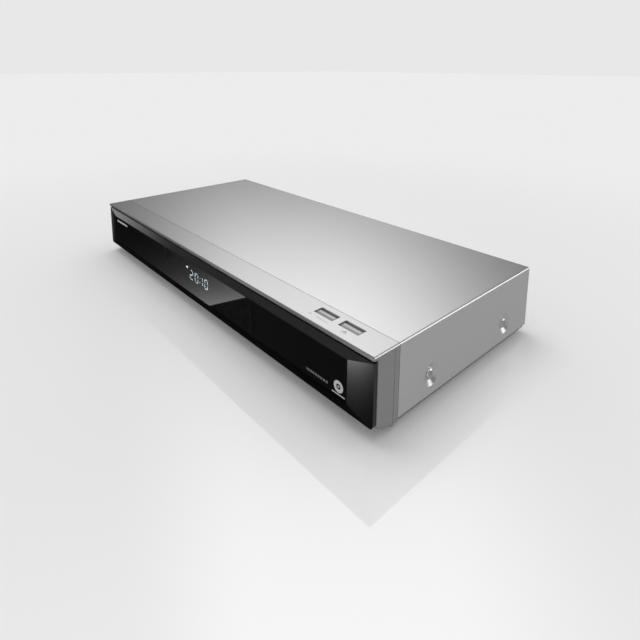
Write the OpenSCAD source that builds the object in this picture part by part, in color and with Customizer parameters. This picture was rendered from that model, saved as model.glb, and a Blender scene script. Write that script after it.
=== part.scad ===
/* [Cabinet] */
// Width over the sides of the cover
case_w = 430; // [430:1:434]
// Depth from the fascia to the back edge of the cover
case_d = 199; // [199:1:203]
// Height over the feet
case_h = 59; // [59:1:61]
// Reach of the aerial sockets behind the cover
socket_reach = 9; // [8:0.5:10]
// Thickness of the cover's steel sheet
sheet_t = 0.8; // [0.6:0.1:0.8]
// Height of the feet under the chassis
foot_h = 4.6; // [4:0.1:4.6]

/* [Front] */
// Depth of the silver strip along the top front edge
strip_d = 23.25; // [22:0.25:24]
// Width of the fascia's sloping end facets
facet_w = 20.5; // [18:0.5:22]
// How far the fascia's middle stands proud of its edges
fascia_proud = 1.5; // [1:0.1:2]
// Gap around the tray front, the window and the flap
seam = 0.3; // [0.3:0.05:0.5]

/* [Disc drive] */
// Travel of the disc tray
tray_travel = 130; // [120:1:130]
// Tilt of the lowered laser deck, in degrees
lift_deg = 6; // [5.5:0.1:6.2]
// Travel of the laser sled
sled_travel = 34; // [30:1:34]
// Gear module of the tray rack and pinion
rack_module = 1.5; // [1.4:0.1:1.5]

/* [Hidden] */
$fn = 48;

// Datum planes of the cabinet
half_w = case_w / 2;
front_y = -(case_d + socket_reach) / 2;
lip_y = front_y + fascia_proud;
seam_y = lip_y + strip_d;
back_y = front_y + case_d;
deck_z = foot_h + 1;
panel_y = back_y - 2;
cover_z0 = foot_h + 2.2;
cover_gap = 0.35;
bend_r = 1.5;

// Fascia outline and the joints between its pieces
fascia_x = half_w - 0.5;
fascia_z0 = 10;
fascia_z1 = case_h - 4.4;
flat_z0 = 17.2;
flat_z1 = case_h - 10.8;
fascia_t = 2.2;
fascia_back_y = lip_y + 3;
facet_x = half_w - 0.5 - facet_w;
tray_seam_x = -62;
window_x1 = 88.3;
flap_x0 = 92;
corner_r = 3;

// Flap hinge
flap_axis_y = front_y + fascia_t / 2;
flap_axis_z = flat_z0 + seam + fascia_t / 2;
hinge_pin_r = 0.7;
run = 0.05;

// Keys on the top strip
key_x = [159, 182.8];
key_y = front_y + 15.45;
key_hole = [18.5, 8.4];
key_travel = 0.8;
key_board_z = case_h - 10.5;
pcb_t = 1.6;

// Chassis side screws and feet
screw_y = [front_y + 60.3, front_y + 160.8];
screw_z = case_h - 37.5;
foot_at = [for (x = [-178, 178], y = [-68, 68]) [x, y]];

// Disc drive: disc centre, tray levels and gear places
drive_x = (tray_seam_x - facet_x) / 2;
disc_y = front_y + 70;
drive_half = 75;
drive_y0 = front_y + 12;
drive_y1 = 68;
drive_z = 8;
tray_z0 = 31;
recess_z = 33.2;
tray_z1 = 36.2;
tray_half = 64.5;
cover_plate_z = 42;
pinion_teeth = 14;
wheel_teeth = 28;
idler_teeth = 12;
pinion_r = rack_module * pinion_teeth / 2;
rack_x = drive_x - 55;
pinion_at = [rack_x + pinion_r, front_y + 24];
tray_y1 = pinion_at[1] + tray_travel + 12;
idler_at = pinion_at + [(wheel_teeth + idler_teeth) / 2, 0];
motor_at = idler_at + [28.5, -2];
wheel_z = 22.5;
belt_z = 17.5;

// Laser deck, described in its raised, level position
pivot = [drive_x, 30, 25.5];
deck_plate_z = 22;
deck_plate_t = 1.5;
rod_x = 27;
rod_z = 27;
screw_x = drive_x - 37;
screw_axis_z = 26.5;
seat_z = 34.2;
peg_x = drive_x + 30;
cam_travel = 15;
lens_y = disc_y + 24;
deck_y0 = lens_y - 11;
deck_y1 = lens_y + sled_travel + 9;

// Boards and the hard disk
board_z = 12;
hdd_at = [-11, front_y + 42, 28.5];
hdd_size = [101.6, 147, 26.1];
main_x0 = -46;
main_x1 = 153;
hdd_posts = [for (x = [-6, 85], y = [front_y + 48, front_y + 180]) [x, y]];
main_screws = [for (x = [-40, 60, 147], y = [front_y + 24, 30]) [x, y]];
power_screws = [for (x = [160, 205], y = [-34, 62]) [x, y]];
fan_x = -33;
fan_z = 34;
rf_x = [101, 115, 131, 145];
rf_z = 22;
inlet_at = [180, panel_y + 1.2, 26];

// Box between two opposite corners
module box(lo, hi) {
    translate(lo) cube(hi - lo);
}

module rod_along_x(r, x0, x1, y, z) {
    translate([x0, y, z]) rotate([0, 90, 0]) cylinder(r = r, h = x1 - x0);
}

module rod_along_y(r, x, y0, y1, z) {
    translate([x, y0, z]) rotate([-90, 0, 0]) cylinder(r = r, h = y1 - y0);
}

module rod_along_z(r, x, y, z0, z1) {
    translate([x, y, z0]) cylinder(r = r, h = z1 - z0);
}

// Flat outline with rounded corners, lower left corner at the origin
module rounded(w, h, r) {
    translate([r, 0]) square([w - 2 * r, h]);
    translate([0, r]) square([w, h - 2 * r]);
    for (x = [r, w - r], y = [r, h - r]) translate([x, y]) circle(r);
}

// Outline in Y and Z, extruded along X from x0 to x1
module across_x(x0, x1) {
    translate([x0, 0, 0]) rotate([90, 0, 90]) linear_extrude(x1 - x0) children();
}

// Outline in X and Z, extruded along Y from y0 to y1
module along_y(y0, y1) {
    translate([0, y1, 0]) rotate([90, 0, 0]) linear_extrude(y1 - y0) children();
}

// Involute spur gear with its first tooth on +X
function inv(a) = tan(a) * 180 / PI - a;
module spur_gear(m, teeth, h, bore_r, addendum = 1, slack = 0.12) {
    pitch_r = m * teeth / 2;
    base_r = pitch_r * cos(20);
    tip_r = pitch_r + addendum * m;
    root_r = pitch_r - m;
    half = 90 / teeth - slack / pitch_r * 180 / PI + inv(20);
    steps = [0 : 3];
    radii = [for (s = steps) max(base_r, root_r) + (tip_r - max(base_r, root_r)) * s / 3];
    flank = [for (r = radii) [r, half - inv(acos(base_r / r))]];
    tooth = concat([[root_r, -flank[0][1]]], [for (s = steps) [flank[s][0], -flank[s][1]]],
        [for (s = steps) flank[3 - s]], [[root_r, flank[0][1]]]);
    difference() {
        linear_extrude(h) polygon([for (i = [0 : teeth - 1], p = tooth)
            p[0] * [cos(p[1] + i * 360 / teeth), sin(p[1] + i * 360 / teeth)]]);
        translate([0, 0, -1]) cylinder(r = bore_r, h = h + 2);
    }
}

// Pan-head screw along +Z, seated with the underside of its head at the origin
module pan_screw(head_r, head_h, shank_r, shank_l) {
    slot = head_r * 0.25;
    difference() {
        rotate_extrude() polygon([[0, 0], [head_r, 0], [head_r, head_h * 0.45],
            [head_r * 0.8, head_h * 0.85], [head_r * 0.45, head_h], [0, head_h]]);
        for (a = [0, 90]) rotate([0, 0, a])
            translate([-head_r * 0.55, -slot / 2, head_h * 0.45]) cube([head_r * 1.1, slot, head_h]);
    }
    translate([0, 0, -shank_l]) cylinder(r = shank_r, h = shank_l);
}

// Cabinet seen from the front, with its two top edges bent
module cabinet_outline(z0) {
    translate([-half_w, z0]) {
        square([case_w, case_h - z0 - bend_r]);
        translate([bend_r, 0]) square([case_w - 2 * bend_r, case_h - z0]);
        for (x = [bend_r, case_w - bend_r]) translate([x, case_h - z0 - bend_r]) circle(bend_r);
    }
}

// Moves the laser deck from its raised place to its lowered rest place
module lowered() {
    translate(pivot) rotate([lift_deg, 0, 0]) translate(-pivot) children();
}

// ---------- Cabinet ----------

module bottom_chassis() {
    flange_x = half_w - 2.8;
    color("lightgray") {
        difference() {
            union() {
                box([-half_w + 1.2, seam_y, foot_h], [half_w - 1.2, panel_y, deck_z]);
                box([-half_w + 10, front_y + 10.5, foot_h], [half_w - 10, seam_y, deck_z]);
            }
            for (x = [-1, 1], i = [0 : 7])
                box([x * 128 - 40, -30 + i * 9, foot_h - 1], [x * 128 + 40, -26 + i * 9, deck_z + 1]);
            for (p = foot_at) rod_along_z(3, p[0], p[1], foot_h - 1, deck_z + 1);
        }
        box([-half_w + 10, front_y + 10.5, deck_z], [half_w - 10, front_y + 11.3, fascia_z0]);
        for (side = [-1, 1]) {
            difference() {
                union() {
                    box([min(side * flange_x, side * (flange_x - 1)), seam_y, deck_z],
                        [max(side * flange_x, side * (flange_x - 1)), panel_y, 12]);
                    for (y = screw_y)
                        box([min(side * flange_x, side * (flange_x - 1)), y - 9, 12],
                            [max(side * flange_x, side * (flange_x - 1)), y + 9, screw_z + 7]);
                }
                for (y = screw_y) rod_along_x(1.3, -half_w, half_w, y, screw_z);
            }
        }
        for (p = concat(main_screws, power_screws)) difference() {
            rod_along_z(3, p[0], p[1], deck_z, board_z);
            rod_along_z(1.2, p[0], p[1], deck_z - 1, board_z + 1);
        }
        for (p = hdd_posts) rod_along_z(3, p[0], p[1], deck_z, hdd_at[2] - 3);
    }
}

module grille(x, z, r) {
    for (i = [-3 : 3]) {
        reach = sqrt(r * r - pow(i * 5, 2));
        box([x - reach, panel_y - 1, z + i * 5 - 1.4], [x + reach, panel_y + 3, z + i * 5 + 1.4]);
    }
}

module rear_panel() {
    plug_z = board_z + pcb_t;
    color("silver") difference() {
        union() {
            box([-half_w + 1.2, panel_y, deck_z], [half_w - 1.2, panel_y + 1, case_h - 1.2]);
            box([-half_w + 1.2, panel_y - 8, case_h - 2.2], [half_w - 1.2, panel_y, case_h - 1.2]);
        }
        grille(fan_x, fan_z, 18);
        for (i = [0 : 9]) for (z = [20, 34])
            box([-190 + i * 10, panel_y - 1, z], [-186 + i * 10, panel_y + 2, z + 9]);
        box([inlet_at[0] - 12.3, panel_y - 1, inlet_at[2] - 8.3],
            [inlet_at[0] + 12.3, panel_y + 2, inlet_at[2] + 8.3]);
        box([23.7 - 8.1, panel_y - 1, plug_z - 0.4], [23.7 + 8.1, panel_y + 2, plug_z + 6.8]);
        box([48 - 8.4, panel_y - 1, plug_z - 0.4], [48 + 8.4, panel_y + 2, plug_z + 14]);
        box([72 - 7.4, panel_y - 1, plug_z - 0.4], [72 + 7.4, panel_y + 2, plug_z + 7.8]);
        for (x = rf_x) rod_along_y(5.2, x, panel_y - 1, panel_y + 2, rf_z);
    }
}

module top_cover() {
    front = seam_y + cover_gap;
    dish_r = 8.5;
    dish_d = 2;
    color([0.76, 0.77, 0.78]) difference() {
        union() {
            difference() {
                along_y(front, back_y) cabinet_outline(cover_z0);
                box([-half_w + sheet_t, front - 1, 0],
                    [half_w - sheet_t, back_y - sheet_t, case_h - sheet_t]);
                box([-half_w + sheet_t, front - 1, 0], [half_w - sheet_t, back_y + 1, case_h - 8]);
            }
            for (y = screw_y) {
                rod_along_x(dish_r + 0.6, half_w - dish_d - sheet_t, half_w - 0.1, y, screw_z);
                rod_along_x(dish_r + 0.6, -half_w + 0.1, -half_w + dish_d + sheet_t, y, screw_z);
            }
        }
        for (y = screw_y) {
            translate([half_w - dish_d, y, screw_z]) rotate([0, 90, 0])
                cylinder(r1 = 5, r2 = dish_r + 0.02, h = dish_d + 0.01);
            translate([-half_w + dish_d, y, screw_z]) rotate([0, -90, 0])
                cylinder(r1 = 5, r2 = dish_r + 0.02, h = dish_d + 0.01);
            rod_along_x(1.7, -half_w - 1, half_w + 1, y, screw_z);
        }
    }
}

module front_bezel() {
    cheek_t = 2.5;
    wall_y = fascia_back_y + 2;
    groove_y = seam_y - 4.55;
    cheek = [[fascia_back_y, case_h - 2.5], [fascia_back_y, 10.6], [lip_y + 4.8, 10.6], [lip_y + 16, 6.7],
        [lip_y + 17.6, 6.7], [lip_y + 17.6, 3.6], [seam_y, 5.1], [seam_y, case_h - 2.5]];
    lip = [[lip_y, case_h], [lip_y - 0.5, case_h - 0.9], [lip_y - 0.5, case_h - 2.5],
        [seam_y, case_h - 2.5], [seam_y, case_h]];
    color([0.70, 0.71, 0.72]) difference() {
        union() {
            intersection() {
                union() {
                    across_x(-half_w, half_w) polygon(lip);
                    across_x(half_w - cheek_t, half_w) polygon(cheek);
                    across_x(-half_w, -half_w + cheek_t) polygon(cheek);
                }
                along_y(front_y - 1, seam_y + 1) cabinet_outline(0);
            }
            box([-half_w + cheek_t, fascia_back_y, fascia_z0], [half_w - cheek_t, wall_y, case_h - 2.5]);
        }
        for (x = key_x)
            box([x - key_hole[0] / 2, key_y - key_hole[1] / 2, case_h - 4],
                [x + key_hole[0] / 2, key_y + key_hole[1] / 2, case_h + 1]);
        for (side = [-1, 1])
            box([side * half_w - 0.4, groove_y - 0.25, 0],
                [side * half_w + 0.4, groove_y + 0.25, case_h - 2.5]);
        box([-facet_x - 1, fascia_back_y - 1, 26], [tray_seam_x + 1, wall_y + 1, 39]);
        box([-40, fascia_back_y - 1, 21], [70, wall_y + 1, 45]);
        box([98.5, fascia_back_y - 1, 36.5], [153.5, wall_y + 1, 43]);
        box([103, fascia_back_y - 1, 25], [118.6, wall_y + 1, 33.4]);
        box([157, fascia_back_y - 1, 25], [185, wall_y + 1, 29]);
    }
}

// Solid with the fascia's facets, cut to the strip between x0 and x1
module faceted_front(x0, x1, z0, z1, y1) {
    intersection() {
        across_x(x0, x1) polygon([[lip_y, fascia_z0], [front_y, flat_z0], [front_y, flat_z1],
            [lip_y, fascia_z1], [y1, fascia_z1], [y1, fascia_z0]]);
        translate([0, 0, z0]) linear_extrude(z1 - z0) polygon([[-fascia_x, lip_y], [-facet_x, front_y],
            [facet_x, front_y], [fascia_x, lip_y], [fascia_x, y1], [-fascia_x, y1]]);
    }
}

module front_fascia() {
    color([0.05, 0.05, 0.055]) difference() {
        intersection() {
            faceted_front(-fascia_x, fascia_x, fascia_z0, fascia_z1, fascia_back_y);
            along_y(front_y - 1, fascia_back_y + 1) {
                translate([-fascia_x, fascia_z0]) rounded(2 * fascia_x, 20, corner_r);
                translate([-fascia_x, fascia_z0 + corner_r]) square([2 * fascia_x, fascia_z1]);
            }
        }
        box([-fascia_x + 3, front_y + fascia_t, fascia_z0 + 3],
            [fascia_x - 3, fascia_back_y + 1, fascia_z1 - 2.5]);
        box([-facet_x, front_y - 1, flat_z0], [window_x1, fascia_back_y + 1, flat_z1]);
        box([flap_x0, front_y - 1, flat_z0], [facet_x, fascia_back_y + 1, flat_z1]);
        rod_along_x(hinge_pin_r + run, flap_x0 - 2.3, flap_x0 + 1, flap_axis_y, flap_axis_z);
        rod_along_x(hinge_pin_r + run, facet_x - 1, facet_x + 2.3, flap_axis_y, flap_axis_z);
    }
}

module display_window() {
    color([0.08, 0.08, 0.09, 0.8]) {
        box([tray_seam_x + seam, front_y, flat_z0 + seam],
            [window_x1 - seam, front_y + fascia_t, flat_z1 - seam]);
        for (x = [-56, 76]) for (z = [flat_z0 + 4, flat_z1 - 8])
            box([x, front_y + fascia_t, z], [x + 6, fascia_back_y, z + 4]);
    }
}

module display_module() {
    color([0.12, 0.14, 0.16]) {
        box([-24, front_y + 4.2, 26], [38, front_y + 9.5, 45]);
        for (i = [0 : 15]) rod_along_y(0.4, -18 + i * 3.3, front_y + 9.5, front_y + 12, 27.5);
    }
}

module front_board() {
    color("darkgreen") difference() {
        box([-38, front_y + 12, 22], [84, front_y + 12 + pcb_t, 46]);
        for (x = [-33, 79]) rod_along_y(1.6, x, front_y + 11, front_y + 15, 34);
    }
}

module key_board() {
    color("darkgreen") box([142, key_y - 6, key_board_z], [197, key_y + 6, key_board_z + pcb_t]);
    color("dimgray") for (x = [142, 193.5])
        box([x, key_y - 6, key_board_z + pcb_t], [x + 3, key_y + 6, case_h - 2.5]);
}

module tact_switches() {
    color("dimgray") for (x = key_x) {
        box([x - 3, key_y - 3, key_board_z + pcb_t], [x + 3, key_y + 3, key_board_z + pcb_t + 1]);
        rod_along_z(1.7, x, key_y, key_board_z + pcb_t + 1, key_board_z + pcb_t + 1.6);
    }
}

module feet() {
    color([0.1, 0.1, 0.1]) for (p = foot_at) difference() {
        union() {
            translate([p[0], p[1], 0.5]) cylinder(r1 = 13, r2 = 15, h = foot_h - 0.5);
            rod_along_z(3, p[0], p[1], foot_h, deck_z + 1.5);
        }
        rod_along_z(10, p[0], p[1], 0, 1.6);
    }
}

module foot_pads() {
    color([0.25, 0.25, 0.25]) for (p = foot_at) rod_along_z(10, p[0], p[1], 0, 1.6);
}

// ---------- Fasteners ----------

module side_screws() {
    color([0.6, 0.6, 0.62]) for (y = screw_y) {
        translate([half_w - 2, y, screw_z]) rotate([0, 90, 0]) pan_screw(3.8, 1.9, 1.3, 5);
        translate([-half_w + 2, y, screw_z]) rotate([0, -90, 0]) pan_screw(3.8, 1.9, 1.3, 5);
    }
}

module rear_screws() {
    places = concat([for (x = [-190, -70, 70, 190]) [x, case_h - 5.2, back_y]],
        [for (x = [-204, -20, 88, 160, 204]) [x, 10.5, panel_y + 1]]);
    color([0.3, 0.3, 0.3]) for (p = places)
        translate([p[0], p[2], p[1]]) rotate([-90, 0, 0]) pan_screw(2.8, 1.6, 0, 0);
}

module board_screws() {
    color([0.75, 0.7, 0.55]) for (p = concat(main_screws, power_screws))
        translate([p[0], p[1], board_z + pcb_t]) pan_screw(2.8, 1.6, 1.2, 5);
}

// ---------- Disc drive ----------

module drive_frame() {
    x0 = drive_x - drive_half;
    x1 = drive_x + drive_half;
    floor_top = drive_z + 2;
    pivot_post = 5;
    color([0.18, 0.18, 0.19]) {
        difference() {
            box([x0, drive_y0, drive_z], [x1, drive_y1, floor_top]);
            box([drive_x - 40, -40, drive_z - 1], [drive_x + 40, 22, floor_top + 1]);
        }
        for (x = [x0, x1 - 2]) box([x, drive_y0, floor_top], [x + 2, drive_y1, cover_plate_z]);
        box([x0 + 2, drive_y1 - 2, floor_top], [x1 - 2, drive_y1, cover_plate_z]);
        box([x0 + 2, drive_y0, tray_z0 - 2.5], [rack_x - 4.5, drive_y1 - 2, tray_z0 - 0.3]);
        box([drive_x + 59.5, drive_y0, tray_z0 - 2.5], [x1 - 2, drive_y1 - 2, tray_z0 - 0.3]);
        for (y = [drive_y0 + 4, -45, 0]) {
            box([x0 + 2, y, tray_z1 + 0.4], [drive_x - tray_half + 4, y + 8, tray_z1 + 2]);
            box([drive_x + tray_half - 4, y, tray_z1 + 0.4], [x1 - 2, y + 8, tray_z1 + 2]);
        }
        rod_along_z(2, pinion_at[0], pinion_at[1], floor_top, tray_z0 - 1);
        rod_along_z(2, idler_at[0], idler_at[1], floor_top, wheel_z + 4.5);
        for (x = [drive_x - 53.5, drive_x + 53.5 - pivot_post]) difference() {
            box([x, pivot[1] - 5, floor_top], [x + pivot_post, pivot[1] + 5, pivot[2] + 2.7]);
            rod_along_x(1.5 + run, x - 1, x + pivot_post + 1, pivot[1], pivot[2]);
        }
        box([peg_x - 24, front_y + 37.6, floor_top], [peg_x + 41, front_y + 38.4, floor_top + 1]);
    }
}

module drive_cover() {
    color("silver") difference() {
        box([drive_x - drive_half, drive_y0 + 12, cover_plate_z],
            [drive_x + drive_half, drive_y1, cover_plate_z + 1]);
        rod_along_z(12, drive_x, disc_y, cover_plate_z - 1, cover_plate_z + 2);
        for (side = [-1, 1])
            box([drive_x + side * 42 - 18, -4, cover_plate_z - 1],
                [drive_x + side * 42 + 18, 50, cover_plate_z + 2]);
    }
}

module rubber_dampers() {
    color([0.15, 0.15, 0.15]) {
        for (x = [drive_x - 66, drive_x + 66], y = [-76, 58]) rod_along_z(5, x, y, deck_z, drive_z);
        for (p = hdd_posts) rod_along_z(5, p[0], p[1], hdd_at[2] - 3, hdd_at[2] - 1);
    }
}

module loading_motor() {
    color("silver") difference() {
        union() {
            rod_along_z(12, motor_at[0], motor_at[1], drive_z + 2, belt_z - 0.8);
            rod_along_z(3, motor_at[0], motor_at[1], belt_z - 0.8, belt_z - 0.4);
        }
        rod_along_z(1 + run, motor_at[0], motor_at[1], drive_z + 3, belt_z);
    }
}

// Closed band round the idler pulley and the motor pulley
module belt_loop(idler_r, motor_r) {
    hull() {
        translate(idler_at) circle(idler_r);
        translate(motor_at) circle(motor_r);
    }
}

module loading_belt() {
    color([0.08, 0.08, 0.08]) translate([0, 0, belt_z + 1]) linear_extrude(2) difference() {
        belt_loop(11.2, 4.2);
        belt_loop(10, 3);
    }
}

module pulley(core_r, rim_r) {
    cylinder(r = rim_r, h = 0.7);
    translate([0, 0, 0.7]) cylinder(r = core_r, h = 2.6);
    translate([0, 0, 3.3]) cylinder(r = rim_r, h = 0.7);
}

module tray_pinion() {
    bore = 2 + run;
    color([0.85, 0.85, 0.8]) translate([pinion_at[0], pinion_at[1], wheel_z]) {
        spur_gear(1, wheel_teeth, 4, bore);
        translate([0, 0, 4]) difference() {
            cylinder(r = 5, h = 1.3);
            translate([0, 0, -1]) cylinder(r = bore, h = 4);
        }
        translate([0, 0, 5.3]) spur_gear(rack_module, pinion_teeth, 2.8, bore, 0.8);
    }
}

module pulley_gear() {
    color([0.9, 0.9, 0.85]) translate([idler_at[0], idler_at[1], 0]) {
        translate([0, 0, wheel_z]) rotate([0, 0, 180 / idler_teeth])
            spur_gear(1, idler_teeth, 4, 2 + run);
        difference() {
            union() {
                translate([0, 0, belt_z]) pulley(9.7, 11.6);
                translate([0, 0, belt_z + 4]) cylinder(r = 4.5, h = wheel_z - belt_z - 4);
            }
            translate([0, 0, belt_z - 1]) cylinder(r = 2 + run, h = 10);
        }
    }
}

module motor_pulley() {
    color("white") translate([motor_at[0], motor_at[1], 0]) {
        translate([0, 0, belt_z]) pulley(2.7, 4.6);
        translate([0, 0, drive_z + 4]) cylinder(r = 1, h = belt_z - drive_z - 4);
    }
}

module cam_slider() {
    low = 25.5 - 98.5 * sin(lift_deg) - 2.75 * cos(lift_deg);
    high = deck_plate_z + deck_plate_t / 2;
    slope = atan2(high - low, cam_travel);
    slot_r = 1.8;
    y0 = front_y + 34.8;
    y1 = y0 + 2;
    color([0.9, 0.9, 0.88]) difference() {
        box([peg_x - 22, y0, 10.4], [peg_x + 24, y1, 26.2]);
        rod_along_y(slot_r, peg_x, y0 - 1, y1 + 1, low);
        rod_along_y(slot_r, peg_x - cam_travel, y0 - 1, y1 + 1, high);
        translate([peg_x, 0, low]) rotate([0, slope - 180, 0])
            box([0, y0 - 1, -slot_r + 0.1], [norm([cam_travel, high - low]), y1 + 1, slot_r - 0.1]);
    }
}

module traverse_frame() {
    top = deck_plate_z + deck_plate_t;
    color([0.7, 0.72, 0.74]) lowered() {
        difference() {
            box([drive_x - 44, front_y + 40, deck_plate_z], [drive_x + 44, deck_y1 + 11, top]);
            box([drive_x - 23, deck_y0 + 1, deck_plate_z - 1], [drive_x + 23, deck_y1 + 5, top + 1]);
            rod_along_z(12, drive_x, disc_y, deck_plate_z - 1, top + 1);
            box([screw_x - 6, -39, deck_plate_z - 1], [screw_x + 6, -21.5, top + 1]);
        }
        for (side = [-1, 1]) for (y = [deck_y0, deck_y1]) difference() {
            box([drive_x + side * rod_x - 3, y, top], [drive_x + side * rod_x + 3, y + 3, rod_z + 3]);
            rod_along_y(1.5, drive_x + side * rod_x, y - 1, y + 4, rod_z);
        }
        for (y = [deck_y0, deck_y1]) difference() {
            box([screw_x - 3, y, top], [screw_x + 3, y + 3, screw_axis_z + 3]);
            rod_along_y(1.5 + run, screw_x, y - 1, y + 4, screw_axis_z);
        }
        for (side = [-1, 1]) difference() {
            box([drive_x + side * 42 - 2, pivot[1] - 4, top],
                [drive_x + side * 42 + 2, pivot[1] + 4, pivot[2] + 2.5]);
            rod_along_x(1.5, drive_x + side * 42 - 3, drive_x + side * 42 + 3, pivot[1], pivot[2]);
        }
        rod_along_y(1.2, peg_x, front_y + 33.5, front_y + 40, deck_plate_z + deck_plate_t / 2);
    }
}

module guide_rods() {
    color("gainsboro") lowered() {
        for (side = [-1, 1]) {
            rod_along_y(1.5, drive_x + side * rod_x, deck_y0, deck_y1 + 3, rod_z);
            rod_along_x(1.5, min(side * 40, side * 53.5) + drive_x, max(side * 40, side * 53.5) + drive_x,
                pivot[1], pivot[2]);
        }
    }
}

module spindle_motor() {
    color("silver") lowered() difference() {
        rod_along_z(12, drive_x, disc_y, deck_plate_z - 3, seat_z - 4.8);
        rod_along_z(1.2 + run, drive_x, disc_y, deck_plate_z - 2, seat_z);
    }
}

module turntable() {
    color([0.2, 0.2, 0.2]) lowered() {
        rod_along_z(14, drive_x, disc_y, seat_z - 4, seat_z - 0.4);
        translate([drive_x, disc_y, seat_z - 0.4]) difference() {
            cylinder(r = 14, h = 0.4);
            translate([0, 0, -1]) cylinder(r = 10, h = 2);
        }
        translate([drive_x, disc_y, seat_z - 0.4]) cylinder(r1 = 7.4, r2 = 6.4, h = 2.1);
        rod_along_z(1.2, drive_x, disc_y, deck_plate_z - 1, seat_z - 4);
    }
}

module laser_sled() {
    color([0.35, 0.36, 0.4]) lowered() difference() {
        union() {
            box([drive_x - 22, lens_y - 8, deck_plate_z - 2], [drive_x + 22, lens_y + 11, rod_z + 3.3]);
            box([drive_x - 31, lens_y - 6.5, deck_plate_z + 2], [drive_x + 31, lens_y + 6, rod_z + 3]);
            box([screw_x - 4, lens_y - 3, deck_plate_z + 2], [drive_x - 31, lens_y + 2, rod_z + 3]);
            rod_along_z(4, drive_x, lens_y, rod_z + 3.3, 32.2);
        }
        for (side = [-1, 1]) rod_along_y(1.5 + run, drive_x + side * rod_x, -60, 40, rod_z);
        rod_along_y(1.9, screw_x, -60, 40, screw_axis_z);
        rod_along_z(2.6, drive_x, lens_y, 31.8, 33);
    }
}

module sled_motor() {
    color("silver") lowered() difference() {
        rod_along_y(4, screw_x, -38, -22, screw_axis_z);
        rod_along_y(0.8 + run, screw_x, -36, -20, screw_axis_z);
    }
}

module lead_screw() {
    color("gold") lowered() {
        rod_along_y(1.5, screw_x, -21.6, deck_y1 + 3, screw_axis_z);
        rod_along_y(0.8, screw_x, -34, -21.6, screw_axis_z);
    }
}

// Tray rack: teeth towards +X, with a tooth gap facing the pinion
module rack_outline(y0, y1) {
    pitch = rack_module * PI;
    half = pitch / 4 - 0.12;
    tip = 0.8 * rack_module;
    first = ceil((y0 - pinion_at[1]) / pitch);
    last = floor((y1 - pinion_at[1]) / pitch) - 1;
    polygon(concat([[rack_x - 3.5, y1], [rack_x - 3.5, y0], [rack_x - rack_module, y0]],
        [for (i = [first : last], p = [[-rack_module, -1], [tip, -1], [tip, 1], [-rack_module, 1]])
            [rack_x + p[0], pinion_at[1] + (i + 0.5) * pitch + p[1] * (half - p[0] * tan(20))]],
        [[rack_x - rack_module, y1]]));
}

module disc_tray() {
    slot_half = 20;
    y0 = front_y + fascia_t;
    color([0.16, 0.16, 0.17]) {
        difference() {
            union() {
                box([drive_x - tray_half, y0, tray_z0], [drive_x + tray_half, disc_y + 62, tray_z1]);
                box([drive_x - tray_half, disc_y + 62, tray_z0], [drive_x + tray_half, tray_y1, tray_z0 + 3]);
            }
            rod_along_z(60.5, drive_x, disc_y, recess_z, tray_z1 + 1);
            rod_along_z(40.5, drive_x, disc_y, recess_z - 1.2, tray_z1 + 1);
            box([drive_x - slot_half, disc_y, tray_z0 - 1],
                [drive_x + slot_half, disc_y + 63.5, tray_z1 + 1]);
            rod_along_z(slot_half, drive_x, disc_y, tray_z0 - 1, tray_z1 + 1);
        }
        translate([0, 0, tray_z0 - 3.5]) linear_extrude(3.5) rack_outline(front_y + 8, tray_y1);
    }
}

module tray_front() {
    color([0.05, 0.05, 0.055]) {
        box([-facet_x + seam, front_y, flat_z0 + seam],
            [tray_seam_x - seam / 2, front_y + fascia_t, flat_z1 - seam]);
    }
}

module clamp_puck() {
    color([0.92, 0.92, 0.9]) {
        rod_along_z(15, drive_x, disc_y, tray_z1 + 1.6, cover_plate_z - 1.6);
        rod_along_z(11, drive_x, disc_y, cover_plate_z - 1.6, cover_plate_z + 1.4);
        rod_along_z(15, drive_x, disc_y, cover_plate_z + 1.4, cover_plate_z + 2.8);
    }
}

// ---------- Hard disk ----------

module hdd_bracket() {
    z = hdd_at[2];
    x1 = hdd_at[0] + hdd_size[0];
    y1 = hdd_at[1] + hdd_size[1];
    color("lightgray") {
        difference() {
            box([hdd_at[0] - 1.2, hdd_at[1], z - 1], [x1 + 1.2, y1, z]);
            box([hdd_at[0] + 14, hdd_at[1] + 14, z - 2], [x1 - 14, y1 - 14, z + 1]);
        }
        for (x = [hdd_at[0] - 1.2, x1 + 0.2]) box([x, hdd_at[1], z], [x + 1, y1, z + 12]);
    }
}

module hdd_board() {
    color("darkgreen") translate(hdd_at + [4, 20, 0]) cube([hdd_size[0] - 8, 100, pcb_t]);
}

module hdd_casting() {
    color([0.3, 0.3, 0.32]) translate(hdd_at + [0, 0, pcb_t]) difference() {
        cube([hdd_size[0], hdd_size[1], hdd_size[2] - pcb_t - 2]);
        translate([4, 8, 5]) cube([hdd_size[0] - 8, hdd_size[1] - 30, hdd_size[2]]);
    }
}

module hdd_lid() {
    color("silver") translate(hdd_at + [1, 1, hdd_size[2] - 2]) linear_extrude(2)
        rounded(hdd_size[0] - 2, hdd_size[1] - 2, 6);
}

// ---------- Boards and sockets ----------

module board(x0, y0, x1, y1, holes, big_holes = []) {
    difference() {
        box([x0, y0, board_z], [x1, y1, board_z + pcb_t]);
        for (p = holes) rod_along_z(1.6, p[0], p[1], board_z - 1, board_z + 3);
        for (p = big_holes) rod_along_z(4.5, p[0], p[1], board_z - 1, board_z + 3);
    }
}

module main_board() {
    color("darkgreen") board(main_x0, front_y + 18, main_x1, panel_y - 2, main_screws, hdd_posts);
}

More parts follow.
